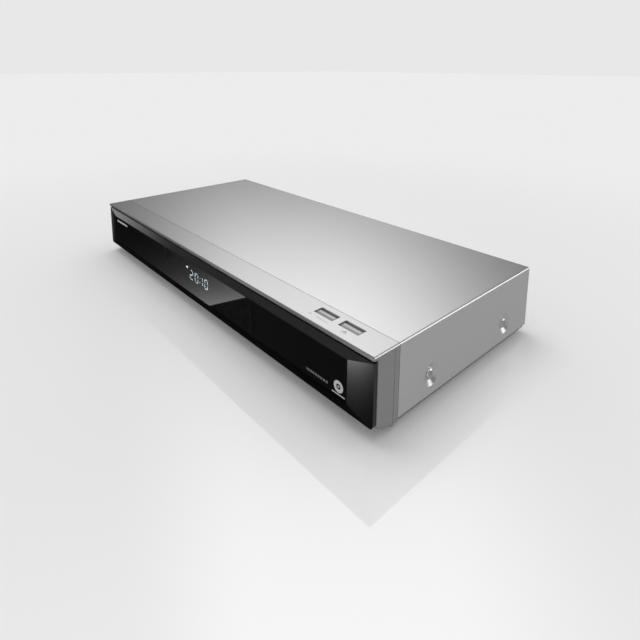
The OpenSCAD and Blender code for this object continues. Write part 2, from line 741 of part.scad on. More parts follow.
module main_chips() {
    top = board_z + pcb_t;
    color([0.1, 0.1, 0.1]) {
        box([20, -20, top], [52, 12, top + 2]);
        for (i = [0 : 3]) box([20 + i * 14, -40, top], [31 + i * 14, -26, top + 1.2]);
        box([104, -30, top], [124, -10, top + 1.5]);
        box([-30, -50, top], [-14, -34, top + 1.5]);
    }
}

module heatsinks() {
    base_z = board_z + pcb_t + 2;
    color("lightgray") {
        box([16, -24, base_z], [56, 16, base_z + 2]);
        for (i = [0 : 8]) box([16 + i * 4.85, -24, base_z + 2], [17.2 + i * 4.85, 16, base_z + 9.5]);
        box([162, -12, board_z + pcb_t], [164, 34, board_z + 30]);
        for (i = [0 : 5]) box([164, -12 + i * 8.8, board_z + 6], [170, -10 + i * 8.8, board_z + 30]);
    }
}

module tuner_modules() {
    color("gainsboro") for (x = [94, 124]) difference() {
        box([x, 46, board_z + pcb_t], [x + 28, panel_y - 0.4, rf_z + 8]);
        box([x + 0.6, 46.6, board_z + 4], [x + 27.4, panel_y - 1, rf_z + 7.4]);
    }
}

module rf_sockets() {
    color([0.8, 0.78, 0.7]) for (x = rf_x) difference() {
        union() {
            rod_along_y(4.7, x, panel_y - 0.4, back_y + socket_reach, rf_z);
            translate([x, panel_y + 1, rf_z]) rotate([-90, 0, 0]) cylinder(r = 6.4, h = 2, $fn = 6);
        }
        rod_along_y(1.2, x, back_y, back_y + socket_reach + 1, rf_z);
    }
}

// Sheet-metal shell with a tongue, its mouth towards -Y when face is -1 and +Y when it is 1
module shell_socket(w, h, d, tongue_h, face) {
    wall = 0.4;
    translate([0, face > 0 ? 0 : d, 0]) mirror([0, face > 0 ? 0 : 1, 0]) {
        difference() {
            translate([-w / 2, 0, 0]) cube([w, d, h]);
            translate([-w / 2 + wall, 2, wall]) cube([w - 2 * wall, d, h - 2 * wall]);
        }
        translate([-w / 2 + 2, 1, h / 2 - tongue_h / 2 + tongue_h * 0.3]) cube([w - 4, d - 2, tongue_h]);
    }
}

module hdmi_socket() {
    color("gainsboro") translate([23.7, panel_y - 10, board_z + pcb_t]) shell_socket(15, 6, 12, 1, 1);
}

module lan_socket() {
    w = 16;
    color("gainsboro") translate([48, panel_y - 14, board_z + pcb_t]) difference() {
        translate([-w / 2, 0, 0]) cube([w, 16, 13.5]);
        translate([-6, 4, 3]) cube([12, 20, 8]);
        translate([-3, 4, 1]) cube([6, 20, 4]);
    }
}

module usb_sockets() {
    color("gainsboro") {
        translate([72, panel_y - 12, board_z + pcb_t]) shell_socket(13.8, 7, 14, 1.8, 1);
        translate([110.8, fascia_back_y, 25.7]) shell_socket(13.8, 7, 14, 1.8, -1);
    }
}

module ac_inlet() {
    w = 24;
    h = 16;
    pin_gap = 8.6;
    color([0.1, 0.1, 0.1]) translate(inlet_at) {
        difference() {
            translate([-w / 2, -18, -h / 2]) cube([w, 18, h]);
            along_y(-14, 1) {
                for (x = [-1, 1]) translate([x * pin_gap / 2, 0]) circle(4.3);
                translate([-pin_gap / 2, -4.3]) square([pin_gap, 8.6]);
            }
        }
        for (x = [-1, 1]) rod_along_y(1.2, x * pin_gap / 2, -14, -3, 0);
        translate([-w / 2, -18, -h / 2 - 4.4]) cube([w, 12, 4.4]);
    }
}

module power_board() {
    color([0.65, 0.5, 0.25]) board(156, -40, 209, 72, power_screws);
}

module transformer() {
    z = board_z + pcb_t;
    color([0.85, 0.75, 0.3]) {
        box([172, -4, z], [204, 26, z + 4]);
        box([176, 0, z + 4], [200, 22, z + 20]);
        box([172, -4, z + 20], [204, 26, z + 24]);
    }
}

module capacitors() {
    z = board_z + pcb_t;
    color([0.15, 0.18, 0.3]) {
        rod_along_z(9, 186, 44, z, z + 28);
        for (i = [0 : 2]) rod_along_z(5, 176 + i * 12, -26, z, z + 20);
        for (i = [0 : 2]) rod_along_z(3.2, -32 + i * 10, 56, z, z + 11);
    }
}

module fan_frame() {
    half = 20;
    color([0.12, 0.12, 0.12]) difference() {
        along_y(panel_y - 10.5, panel_y - 0.5) translate([fan_x - half, fan_z - half]) rounded(40, 40, 3);
        difference() {
            rod_along_y(19, fan_x, panel_y - 12, panel_y + 1, fan_z);
            rod_along_y(9.5, fan_x, panel_y - 2.3, panel_y - 0.5, fan_z);
            for (a = [45, 135]) translate([fan_x, 0, fan_z]) rotate([0, a, 0])
                box([-20, panel_y - 2.3, -1.2], [20, panel_y - 0.5, 1.2]);
        }
        rod_along_y(1 + run, fan_x, panel_y - 2.4, panel_y - 1, fan_z);
        for (x = [-16, 16], z = [-16, 16])
            rod_along_y(1.8, fan_x + x, panel_y - 11, panel_y, fan_z + z);
    }
}

module fan_rotor() {
    hub_r = 9;
    blades = 7;
    color([0.2, 0.2, 0.2]) translate([fan_x, panel_y - 10, fan_z]) rotate([-90, 0, 0]) {
        cylinder(r = hub_r, h = 7.2);
        translate([0, 0, 7.2]) cylinder(r = 1, h = 1.6);
        for (i = [0 : blades - 1]) rotate([0, 0, i * 360 / blades])
            translate([hub_r - 1, 0, 3.6]) rotate([38, 0, 0]) translate([0, -4.4, -0.5]) cube([9.8, 8.8, 1]);
    }
}

// ---------- Sockets behind the flap ----------

module card_board() {
    color("darkgreen") box([97, fascia_back_y + 2.2, 24], [191, -56, 25.6]);
}

module ci_slot_frame() {
    color("gainsboro") difference() {
        box([98.8, fascia_back_y, 36.8], [153.2, -30, 42.7]);
        box([99.4, fascia_back_y - 1, 37.2], [152.6, -34, 42.3]);
    }
}

module sd_socket() {
    color("gainsboro") difference() {
        box([158, fascia_back_y, 25.6], [184, -74, 28.8]);
        box([158.8, fascia_back_y - 1, 26], [183.2, -76, 28.3]);
    }
}

// One flat cable: a stretch along X at height z with a drop at each end
module flat_cable(x0, x1, y0, y1, z, drop0, drop1) {
    t = 0.5;
    box([x0, y0, z], [x1, y1, z + t]);
    box([x0, y0, drop0], [x0 + t, y1, z]);
    box([x1 - t, y0, drop1], [x1, y1, z]);
}

module flat_cables() {
    top = board_z + pcb_t;
    color("ivory") {
        flat_cable(-52, -40, 0, 24, 32, 24, top);
        flat_cable(-52, -36, -52, -38, 26, 22, top);
        flat_cable(94, 158, -20, -6, 31, top, top);
    }
    color("firebrick") box([-28, -80, top], [-27.5, -66, 22]);
}

// ---------- Keys and flap ----------

// Hipped key cap with a flange under the strip and a stem down to its switch
module key(x) {
    gap = 0.3;
    w = key_hole[0] - 2 * gap;
    d = key_hole[1] - 2 * gap;
    ridge = [15.4, 2.4];
    slope_h = 1.7;
    color([0.72, 0.73, 0.74]) translate([x, key_y, 0]) {
        hull() {
            translate([-w / 2, -d / 2, case_h - slope_h - 0.1]) cube([w, d, 0.1]);
            translate([-ridge[0] / 2, -ridge[1] / 2, case_h - 0.1]) cube([ridge[0], ridge[1], 0.1]);
        }
        translate([-w / 2, -d / 2, case_h - 2.8]) cube([w, d, 2.81 - slope_h]);
        translate([-w / 2 - 1, -d / 2 - 1, case_h - 3.8]) cube([w + 2, d + 2, 1]);
        translate([-1.5, -1.5, key_board_z + pcb_t + 2.8])
            cube([3, 3, case_h - 3.8 - key_board_z - pcb_t - 2.8]);
    }
}

module power_key() {
    key(key_x[0]);
}

module open_close_key() {
    key(key_x[1]);
}

module front_flap() {
    x0 = flap_x0 + seam;
    x1 = facet_x - seam;
    r = fascia_t / 2;
    color([0.05, 0.05, 0.055]) difference() {
        union() {
            box([x0, front_y, flap_axis_z], [x1, front_y + fascia_t, flat_z1 - seam]);
            rod_along_x(r, x0, x1, flap_axis_y, flap_axis_z);
            for (x = [x0 + 10, x1 - 18])
                box([x, front_y + fascia_t, flat_z1 - 5], [x + 8, front_y + 3.6, flat_z1 - 3.6]);
        }
        for (x = [x0 - 1, x1 - 4]) rod_along_x(hinge_pin_r, x, x + 5, flap_axis_y, flap_axis_z);
    }
}

module flap_hinge_pins() {
    color("gainsboro") {
        rod_along_x(hinge_pin_r, flap_x0 - 2, flap_x0 + seam + 4, flap_axis_y, flap_axis_z);
        rod_along_x(hinge_pin_r, facet_x - seam - 4, facet_x + 2, flap_axis_y, flap_axis_z);
    }
}

bottom_chassis();
rear_panel();
top_cover();
front_bezel();
front_fascia();
display_window();
display_module();
front_board();
key_board();
tact_switches();
feet();
foot_pads();
side_screws();
rear_screws();
board_screws();
drive_frame();
drive_cover();
rubber_dampers();
loading_motor();
loading_belt();
hdd_bracket();
hdd_casting();
hdd_lid();
hdd_board();
main_board();
main_chips();
heatsinks();
tuner_modules();
rf_sockets();
hdmi_socket();
lan_socket();
usb_sockets();
power_board();
transformer();
capacitors();
ac_inlet();
fan_frame();
card_board();
ci_slot_frame();
sd_socket();
flat_cables();
power_key();
open_close_key();
front_flap();
flap_hinge_pins();
tray_front();
disc_tray();
tray_pinion();
pulley_gear();
motor_pulley();
traverse_frame();
guide_rods();
spindle_motor();
sled_motor();
turntable();
clamp_puck();
laser_sled();
lead_screw();
cam_slider();
fan_rotor();
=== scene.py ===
import math

import bmesh
import bpy
from mathutils import Matrix, Vector


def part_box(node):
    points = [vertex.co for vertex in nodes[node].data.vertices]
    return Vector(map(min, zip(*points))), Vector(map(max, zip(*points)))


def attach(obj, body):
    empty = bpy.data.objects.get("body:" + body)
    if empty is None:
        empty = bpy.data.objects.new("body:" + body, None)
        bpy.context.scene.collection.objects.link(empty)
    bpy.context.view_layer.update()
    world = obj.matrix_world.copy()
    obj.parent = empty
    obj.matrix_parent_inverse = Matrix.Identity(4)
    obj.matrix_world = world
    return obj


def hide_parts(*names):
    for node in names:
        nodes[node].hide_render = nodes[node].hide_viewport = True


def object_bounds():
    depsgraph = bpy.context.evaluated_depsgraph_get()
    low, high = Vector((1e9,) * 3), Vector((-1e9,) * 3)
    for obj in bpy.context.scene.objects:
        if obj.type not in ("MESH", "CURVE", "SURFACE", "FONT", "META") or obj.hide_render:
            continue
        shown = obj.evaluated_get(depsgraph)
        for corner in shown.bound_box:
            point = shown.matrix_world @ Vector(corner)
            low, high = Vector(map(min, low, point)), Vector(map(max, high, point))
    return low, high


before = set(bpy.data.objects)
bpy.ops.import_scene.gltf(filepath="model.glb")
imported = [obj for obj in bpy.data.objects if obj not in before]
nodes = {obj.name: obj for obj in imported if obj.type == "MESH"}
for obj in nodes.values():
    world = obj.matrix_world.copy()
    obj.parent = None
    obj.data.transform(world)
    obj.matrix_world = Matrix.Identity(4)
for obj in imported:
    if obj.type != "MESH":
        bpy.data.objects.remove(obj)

cad_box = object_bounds()
mm = 0.001

# ---------------------------------------------------------------------------------------------
# The studio. A pale, faintly polished table in even light, with one soft sun-like lamp from above.
# The paint and the gloss mirror a room of their own, made of soft boxes, a slanted pane and cards.
# The view is from the front right, above the recorder's top.

lo, hi = cad_box
camera_data = bpy.data.cameras.new("view")
camera_data.sensor_width = 36
camera_data.lens = 27.535
camera_data.shift_x = 0.009
camera_data.shift_y = -0.2594
camera_data.clip_start = 0.02
camera = bpy.data.objects.new("view", camera_data)
camera.location = (hi.x + 169.7 * mm, lo.y - 198.95 * mm, hi.z + 168.6 * mm)
camera.rotation_euler = [math.radians(a) for a in (79.652, -0.237, 48.215)]
bpy.context.scene.collection.objects.link(camera)
bpy.context.scene.camera = camera
bpy.context.scene.view_settings.view_transform = "Standard"


def node_in(tree, kind, place=(0, 0), **values):
    """Adds a node at a grid place and sets its properties."""
    made = tree.nodes.new(kind)
    made.location = (place[0] * 220, place[1] * 220)
    for key, value in values.items():
        setattr(made, key, value)
    return made


def maths(tree, operation, a, b=None, c=None):
    """One math node; a, b and c are numbers or sockets."""
    made = node_in(tree, "ShaderNodeMath", operation=operation)
    for socket, value in zip(made.inputs, (a, b, c)):
        if value is None:
            continue
        if isinstance(value, (int, float)):
            socket.default_value = value
        else:
            tree.links.new(value, socket)
    return made.outputs[0]


def product(tree, *values):
    """Multiplies numbers and sockets."""
    result = values[0]
    for value in values[1:]:
        result = maths(tree, "MULTIPLY", result, value)
    return result


def total(tree, *values):
    """Adds numbers and sockets."""
    result = values[0]
    for value in values[1:]:
        result = maths(tree, "ADD", result, value)
    return result


def smooth_step(tree, value, start, end, low=0.0, high=1.0):
    """Eases from low to high while value goes from start to end."""
    made = node_in(tree, "ShaderNodeMapRange", interpolation_type="SMOOTHSTEP")
    tree.links.new(value, made.inputs["Value"])
    for key, number in (("From Min", start), ("From Max", end), ("To Min", low), ("To Max", high)):
        made.inputs[key].default_value = number
    return made.outputs["Result"]


world = bpy.data.worlds.new("studio")
bpy.context.scene.world = world
world.use_nodes = True
sky = world.node_tree
sky.nodes.clear()
where = node_in(sky, "ShaderNodeTexCoord", (-4, 0))
split = node_in(sky, "ShaderNodeSeparateXYZ", (-3, 0))
sky.links.new(where.outputs["Generated"], split.inputs[0])
dx, dy, dz = split.outputs
turn = maths(sky, "DEGREES", maths(sky, "ARCTAN2", maths(sky, "MULTIPLY", dx, -1.0), dy))
rise = maths(sky, "DEGREES", maths(sky, "ARCSINE", dz))

# above the table: a wide softbox at the back left, a low strip light at the back right, and a
# pale ceiling that fills in towards the front and straight overhead
leaning = maths(sky, "MULTIPLY_ADD", rise, 0.6, maths(sky, "SUBTRACT", turn, 11.7))
softbox = product(sky, smooth_step(sky, leaning, 22, 50), smooth_step(sky, turn, 75, 56),
                  smooth_step(sky, rise, 9.5, 30), 1.62)
strip_light = product(sky, smooth_step(sky, turn, -10, -28), smooth_step(sky, turn, -66, -50),
                      smooth_step(sky, rise, -6, 0), smooth_step(sky, rise, 38, 26), 2.3)
overhead = smooth_step(sky, rise, 36, 58, 0.0, 0.7)
towards_front = smooth_step(sky, dy, 0.1, -0.25, 0.0, 0.35)
upper = total(sky, softbox, strip_light, overhead, towards_front, 0.05)

# below the table's level: a pale fill at the back and sides, and before the front a dark room
# with a slanted pane, a card at the left and a narrow lamp at the right for the gloss to mirror
forward = maths(sky, "MAXIMUM", maths(sky, "MULTIPLY", dy, -1.0), 0.02)
u = maths(sky, "DIVIDE", dx, forward)
v = maths(sky, "DIVIDE", dz, forward)
pane_edge = maths(sky, "MULTIPLY_ADD", v, 1.95, 0.245)
inward = maths(sky, "SUBTRACT", pane_edge, u)
past_edge = maths(sky, "MAXIMUM", inward, 0.0)
pane_fade = maths(sky, "EXPONENT", maths(sky, "MULTIPLY", past_edge, -5.2))
pane = product(sky, smooth_step(sky, inward, -0.004, 0.004), smooth_step(sky, v, -1.5, -1.25),
               pane_fade, 1.35)
high_band = smooth_step(sky, v, -0.62, -0.38)
card = product(sky, smooth_step(sky, u, -1.62, -2.3), high_band, 1.15)
glow = product(sky, high_band, smooth_step(sky, u, -1.6, -1.0, 0.17, 0.24))
lamp_fade = maths(sky, "EXPONENT", maths(sky, "MULTIPLY_ADD", v, 20.0, 15.8))
narrow = product(sky, maths(sky, "MINIMUM", lamp_fade, 1.1), smooth_step(sky, u, -0.585, -0.715),
                 smooth_step(sky, u, -0.86, -0.76), smooth_step(sky, v, -0.52, -0.66), 3.0)
right_fill = smooth_step(sky, u, -0.56, -0.25, 0.0, 0.42)
edge_glow = product(sky, smooth_step(sky, u, -5.42, -5.56), smooth_step(sky, v, -2.1, -1.6), 0.16)
room = smooth_step(sky, u, -2.2, -1.5, 0.014, 0.045)
before = total(sky, pane, card, glow, narrow, right_fill, edge_glow, room)
to_front = smooth_step(sky, dy, -0.02, -0.12)
lower = node_in(sky, "ShaderNodeMix", data_type="FLOAT")
sky.links.new(to_front, lower.inputs[0])
lower.inputs[2].default_value = 0.39
sky.links.new(before, lower.inputs[3])
level = node_in(sky, "ShaderNodeMix", data_type="FLOAT")
sky.links.new(smooth_step(sky, dz, 0.01, -0.01), level.inputs[0])
sky.links.new(upper, level.inputs[2])
sky.links.new(lower.outputs[0], level.inputs[3])

shaped = node_in(sky, "ShaderNodeBackground", (4, 0))
even = node_in(sky, "ShaderNodeBackground", (4, 1))
backdrop = node_in(sky, "ShaderNodeBackground", (4, 2))
even.inputs["Strength"].default_value = 0.68
backdrop.inputs["Strength"].default_value = 0.807
for light in (shaped, even, backdrop):
    light.inputs["Color"].default_value = (1, 1, 1, 1)
sky.links.new(level.outputs[0], shaped.inputs["Strength"])
path = node_in(sky, "ShaderNodeLightPath", (3, 3))
by_gloss = node_in(sky, "ShaderNodeMixShader", (5, 0))
by_view = node_in(sky, "ShaderNodeMixShader", (6, 0))
out = node_in(sky, "ShaderNodeOutputWorld", (7, 0))
sky.links.new(path.outputs["Is Glossy Ray"], by_gloss.inputs[0])
sky.links.new(even.outputs[0], by_gloss.inputs[1])
sky.links.new(shaped.outputs[0], by_gloss.inputs[2])
sky.links.new(path.outputs["Is Camera Ray"], by_view.inputs[0])
sky.links.new(by_gloss.outputs[0], by_view.inputs[1])
sky.links.new(backdrop.outputs[0], by_view.inputs[2])
sky.links.new(by_view.outputs[0], out.inputs[0])

window_light = bpy.data.lights.new("window_light", "SUN")
window_light.energy = 0.70
window_light.angle = math.radians(38)
window_object = bpy.data.objects.new("window_light", window_light)
window_object.rotation_euler = Vector((0.5, -0.05, -1.3)).to_track_quat("-Z", "Y").to_euler()
window_object.visible_glossy = False
bpy.context.scene.collection.objects.link(window_object)


def link_new(name, bm):
    """Puts a finished bmesh in the scene as an object at the origin."""
    mesh = bpy.data.meshes.new(name)
    bm.to_mesh(mesh)
    bm.free()
    piece = bpy.data.objects.new(name, mesh)
    bpy.context.scene.collection.objects.link(piece)
    return piece


table_bm = bmesh.new()
bmesh.ops.create_grid(table_bm, x_segments=1, y_segments=1, size=12)
table = link_new("table", table_bm)
table.visible_glossy = False
lacquer = bpy.data.materials.new("table_lacquer")
lacquer.use_nodes = True
lacquer_tree = lacquer.node_tree
lacquer_tree.nodes.clear()
pale = node_in(lacquer_tree, "ShaderNodeBsdfDiffuse", (1, 1))
pale.inputs["Color"].default_value = (0.95, 0.95, 0.95, 1)
polish = node_in(lacquer_tree, "ShaderNodeBsdfGlossy", (1, 0))
polish.inputs["Color"].default_value = (1, 1, 1, 1)
polish.inputs["Roughness"].default_value = 0.04
table_place = node_in(lacquer_tree, "ShaderNodeTexCoord", (-3, 0))
reach = node_in(lacquer_tree, "ShaderNodeVectorMath", (-2, 0), operation="LENGTH")
lacquer_tree.links.new(table_place.outputs["Object"], reach.inputs[0])
polished = smooth_step(lacquer_tree, reach.outputs["Value"], 0.9, 0.3, 0.0, 0.06)
table_mix = node_in(lacquer_tree, "ShaderNodeMixShader", (2, 0))
table_out = node_in(lacquer_tree, "ShaderNodeOutputMaterial", (3, 0))
lacquer_tree.links.new(polished, table_mix.inputs[0])
lacquer_tree.links.new(pale.outputs[0], table_mix.inputs[1])
lacquer_tree.links.new(polish.outputs[0], table_mix.inputs[2])
lacquer_tree.links.new(table_mix.outputs[0], table_out.inputs[0])
table.data.materials.append(lacquer)

# ---------------------------------------------------------------------------------------------
# Folded steel: the chassis pan and the brackets inside. Zinc-plated sheet, pressed and folded,
# with a faint spangle and fine rolling lines. The pan's outer sides are painted near black low
# down: painted shade for the shadowed gap under the cover's edge.


def mottle_group():
    """Small changes of tone, gloss and height: soft clouds with a fine grain on them."""
    group = bpy.data.node_groups.new("mottle", "ShaderNodeTree")
    for name, kind in (("Vector", "NodeSocketVector"), ("Colour", "NodeSocketColor"),
                       ("Grain Scale", "NodeSocketFloat"), ("Cloud Scale", "NodeSocketFloat"),
                       ("Spread", "NodeSocketFloat")):
        group.interface.new_socket(name=name, in_out="INPUT", socket_type=kind)
    for name, kind in (("Colour", "NodeSocketColor"), ("Mask", "NodeSocketFloat"),
                       ("Height", "NodeSocketFloat")):
        group.interface.new_socket(name=name, in_out="OUTPUT", socket_type=kind)
    enter = node_in(group, "NodeGroupInput", (-3, 0))
    leave = node_in(group, "NodeGroupOutput", (4, 0))
    grain = node_in(group, "ShaderNodeTexNoise", (-1, 1))
    cloud = node_in(group, "ShaderNodeTexNoise", (-1, -1))
    grain.inputs["Detail"].default_value = 2
    cloud.inputs["Detail"].default_value = 4
    group.links.new(enter.outputs["Vector"], grain.inputs["Vector"])
    group.links.new(enter.outputs["Vector"], cloud.inputs["Vector"])
    group.links.new(enter.outputs["Grain Scale"], grain.inputs["Scale"])
    group.links.new(enter.outputs["Cloud Scale"], cloud.inputs["Scale"])
    half_cloud = product(group, cloud.outputs["Fac"], 0.5)
    both = maths(group, "MULTIPLY_ADD", grain.outputs["Fac"], 0.5, half_cloud)
    centred = maths(group, "SUBTRACT", both, 0.5)
    shift = maths(group, "MULTIPLY_ADD", centred, enter.outputs["Spread"], 1.0)
    scaled = node_in(group, "ShaderNodeVectorMath", (2, 1), operation="SCALE")
    group.links.new(enter.outputs["Colour"], scaled.inputs[0])
    group.links.new(shift, scaled.inputs["Scale"])
    group.links.new(scaled.outputs[0], leave.inputs["Colour"])
    group.links.new(both, leave.inputs["Mask"])
    group.links.new(grain.outputs["Fac"], leave.inputs["Height"])
    return group


mottle = mottle_group()


class Finish:
    """A procedural finish with mottled colour and gloss and a fine bump."""

    def __init__(self, name, colour, rough, metal=0.0, grain=900, cloud=25, spread=0.12,
                 gloss_spread=0.12, bump=0.00004, stretch=(1, 1, 1)):
        self.made = bpy.data.materials.new(name)
        self.made.use_nodes = True
        self.tree = self.made.node_tree
        self.bsdf = self.tree.nodes["Principled BSDF"]
        coordinates = node_in(self.tree, "ShaderNodeTexCoord", (-6, 0))
        mapping = node_in(self.tree, "ShaderNodeMapping", (-5, 0))
        mapping.inputs["Scale"].default_value = stretch
        self.tree.links.new(coordinates.outputs["Object"], mapping.inputs["Vector"])
        self.place = node_in(self.tree, "ShaderNodeSeparateXYZ", (-5, 2))
        self.tree.links.new(coordinates.outputs["Object"], self.place.inputs[0])
        self.mottled = node_in(self.tree, "ShaderNodeGroup", (-4, 0), node_tree=mottle)
        self.tree.links.new(mapping.outputs[0], self.mottled.inputs["Vector"])
        self.mottled.inputs["Colour"].default_value = (*colour, 1)
        self.mottled.inputs["Grain Scale"].default_value = grain
        self.mottled.inputs["Cloud Scale"].default_value = cloud
        self.mottled.inputs["Spread"].default_value = spread
        self.tree.links.new(self.mottled.outputs["Colour"], self.bsdf.inputs["Base Color"])
        gloss = node_in(self.tree, "ShaderNodeMapRange", (-2, -1))
        gloss.inputs["From Min"].default_value = 0.3
        gloss.inputs["From Max"].default_value = 0.7
        gloss.inputs["To Min"].default_value = max(0.01, rough * (1 - gloss_spread))
        gloss.inputs["To Max"].default_value = min(1.0, rough * (1 + gloss_spread))
        self.tree.links.new(self.mottled.outputs["Mask"], gloss.inputs["Value"])
        self.tree.links.new(gloss.outputs[0], self.bsdf.inputs["Roughness"])
        relief = node_in(self.tree, "ShaderNodeBump", (-2, -2))
        relief.inputs["Strength"].default_value = 0.5
        relief.inputs["Distance"].default_value = bump
        self.tree.links.new(self.mottled.outputs["Height"], relief.inputs["Height"])
        self.tree.links.new(relief.outputs[0], self.bsdf.inputs["Normal"])
        self.bsdf.inputs["Metallic"].default_value = metal

    def strip(self, axis, start, end, edge=0.1):
        """A mask that is 1 where a coordinate, in millimetres, lies between start and end."""
        value = self.place.outputs[axis]
        return product(self.tree, smooth_step(self.tree, value, (start - edge) * mm, (start + edge) * mm),
                       smooth_step(self.tree, value, (end + edge) * mm, (end - edge) * mm))

    def ring(self, axes, centre, inner, outer, edge=0.1):
        """A ring-shaped mask round a centre, in millimetres, in the plane of two axes."""
        squares = []
        for axis, middle in zip(axes, centre):
            away = maths(self.tree, "SUBTRACT", self.place.outputs[axis], middle * mm)
            squares.append(maths(self.tree, "POWER", away, 2.0))
        far = maths(self.tree, "SQRT", total(self.tree, *squares))
        disc = smooth_step(self.tree, far, (outer + edge) * mm, (outer - edge) * mm)
        if inner <= 0:
            return disc
        hole = smooth_step(self.tree, far, (inner - edge) * mm, (inner + edge) * mm)
        return product(self.tree, disc, hole)

    def dashes(self, axis, half_pitch, start, end):
        """A mask of even dashes along an axis, in millimetres."""
        wave = maths(self.tree, "PINGPONG", self.place.outputs[axis], half_pitch * mm)
        return smooth_step(self.tree, wave, start * mm, end * mm)

    def tint(self, mask, colour, strength=1.0):
        """Lays a second colour over the finish where the mask is 1."""
        socket = self.bsdf.inputs["Base Color"]
        under = socket.links[0].from_socket
        mix = node_in(self.tree, "ShaderNodeMix", (-1, 1), data_type="RGBA")
        self.tree.links.new(product(self.tree, mask, strength), mix.inputs[0])
        self.tree.links.new(under, mix.inputs[6])
        mix.inputs[7].default_value = (*colour, 1)
        self.tree.links.new(mix.outputs[2], socket)


def dress(finish, *names):
    """Puts one finish on CAD nodes."""
    for name in names:
        part = nodes[name]
        part.data.materials.clear()
        part.data.materials.append(finish.made)


def add_piece(name, bm, finish, body, slot, *stands_for):
    """Makes a finished bmesh a piece that rides on a body, in place of CAD nodes if any are named."""
    bmesh.ops.recalc_face_normals(bm, faces=bm.faces)
    piece = link_new(name, bm)
    piece.data.materials.append(finish.made)
    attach(piece, body)
    if stands_for:
        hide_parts(*stands_for)


zinc = Finish("zinc_sheet", (0.56, 0.57, 0.58), 0.38, 1.0, grain=260, cloud=60, spread=0.35,
              stretch=(1, 0.35, 1))
dress(zinc, "hdd_bracket", "drive_cover", "traverse_frame")
chassis_zinc = Finish("chassis_zinc", (0.50, 0.505, 0.51), 0.4, 1.0, grain=260, cloud=60, spread=0.35,
                      stretch=(1, 0.35, 1))
# painted shade: a near-black band on the pan's outer sides, up to 11.5 mm high, stands in for the
# shadowed gap under the cover
rim = total(chassis_zinc.tree, chassis_zinc.strip("X", 213.0, 216.0),
            chassis_zinc.strip("X", -216.0, -213.0))
painted_gap_shade = product(chassis_zinc.tree, rim, chassis_zinc.strip("Z", 0.0, 11.5))
chassis_zinc.tint(painted_gap_shade, (0.03, 0.03, 0.03))
dress(chassis_zinc, "bottom_chassis")

# ---------------------------------------------------------------------------------------------
# Feet, pads and dampers. Moulded black feet with foam-rubber pads pressed in, and soft grommets
# under the drive and the disk.

foot_plastic = Finish("foot_plastic", (0.03, 0.03, 0.03), 0.5, grain=1500, spread=0.3)
pad_rubber = Finish("pad_rubber", (0.045, 0.045, 0.045), 0.85, grain=2500, spread=0.5, bump=0.0002)
dress(foot_plastic, "feet")
dress(pad_rubber, "foot_pads", "rubber_dampers", "loading_belt")

# ---------------------------------------------------------------------------------------------
# The disc loader. A black glass-filled frame and tray, white acetal gears and pulleys turning on
# moulded posts, motors in steel cans, and a laser deck with ground rods.

loader_plastic = Finish("loader_plastic", (0.022, 0.022, 0.024), 0.42, grain=1800, spread=0.3,
                        bump=0.0001)
acetal = Finish("acetal", (0.72, 0.72, 0.68), 0.4, grain=700, spread=0.06)
motor_can = Finish("motor_can", (0.6, 0.6, 0.61), 0.3, 1.0, grain=500, spread=0.2, stretch=(1, 1, 12))
ground_steel = Finish("ground_steel", (0.72, 0.72, 0.74), 0.14, 1.0, grain=900, spread=0.1,
                      stretch=(8, 1, 8))
cast_alloy = Finish("cast_alloy", (0.33, 0.34, 0.36), 0.5, 1.0, grain=1200, spread=0.4, bump=0.0002)
brass = Finish("brass", (0.62, 0.48, 0.22), 0.25, 1.0, grain=900, spread=0.2)
dress(loader_plastic, "drive_frame", "disc_tray", "turntable")
dress(acetal, "tray_pinion", "pulley_gear", "motor_pulley", "cam_slider", "clamp_puck")
dress(motor_can, "loading_motor", "spindle_motor", "sled_motor")
dress(ground_steel, "guide_rods", "flap_hinge_pins")
dress(cast_alloy, "laser_sled", "hdd_casting")
dress(brass, "lead_screw", "board_screws")

# ---------------------------------------------------------------------------------------------
# Circuit boards and what stands on them. Green solder mask over copper tracks, black chips,
# anodised heatsinks, tinned cans, and sockets in plated shells.

board_mask = Finish("board_mask", (0.02, 0.16, 0.06), 0.28, grain=600, spread=0.25)
tracks = node_in(board_mask.tree, "ShaderNodeTexBrick", (-4, 2))
board_place = board_mask.mottled.inputs["Vector"].links[0].from_socket
board_mask.tree.links.new(board_place, tracks.inputs["Vector"])
tracks.inputs["Scale"].default_value = 160
tracks.inputs["Mortar Size"].default_value = 0.06
tracks.inputs["Color1"].default_value = (0.014, 0.13, 0.05, 1)
tracks.inputs["Color2"].default_value = (0.02, 0.18, 0.07, 1)
tracks.inputs["Mortar"].default_value = (0.07, 0.30, 0.12, 1)
board_mask.tree.links.new(tracks.outputs["Color"], board_mask.mottled.inputs["Colour"])
paper_board = Finish("paper_board", (0.42, 0.29, 0.12), 0.45, grain=500, spread=0.3)
chip_resin = Finish("chip_resin", (0.02, 0.02, 0.022), 0.55, grain=2200, spread=0.3)
anodised = Finish("anodised", (0.62, 0.63, 0.65), 0.35, 1.0, grain=500, spread=0.15, stretch=(1, 10, 1))
tinned = Finish("tinned", (0.66, 0.66, 0.62), 0.32, 1.0, grain=300, cloud=80, spread=0.25)
tape_yellow = Finish("tape_yellow", (0.62, 0.43, 0.06), 0.35, grain=400, spread=0.2)
can_sleeve = Finish("can_sleeve", (0.03, 0.04, 0.12), 0.25, grain=500, spread=0.2)
flex_foil = Finish("flex_foil", (0.75, 0.73, 0.66), 0.35, grain=300, spread=0.1)
disk_lid = Finish("disk_lid", (0.7, 0.71, 0.72), 0.28, 1.0, grain=500, spread=0.1, stretch=(1, 20, 1))
display_glass = Finish("display_glass", (0.012, 0.016, 0.016), 0.12, grain=300, spread=0.2)
inlet_plastic = Finish("inlet_plastic", (0.02, 0.02, 0.02), 0.4, grain=1500, spread=0.3)
dress(board_mask, "front_board", "key_board", "hdd_board", "main_board", "card_board")
dress(paper_board, "power_board")
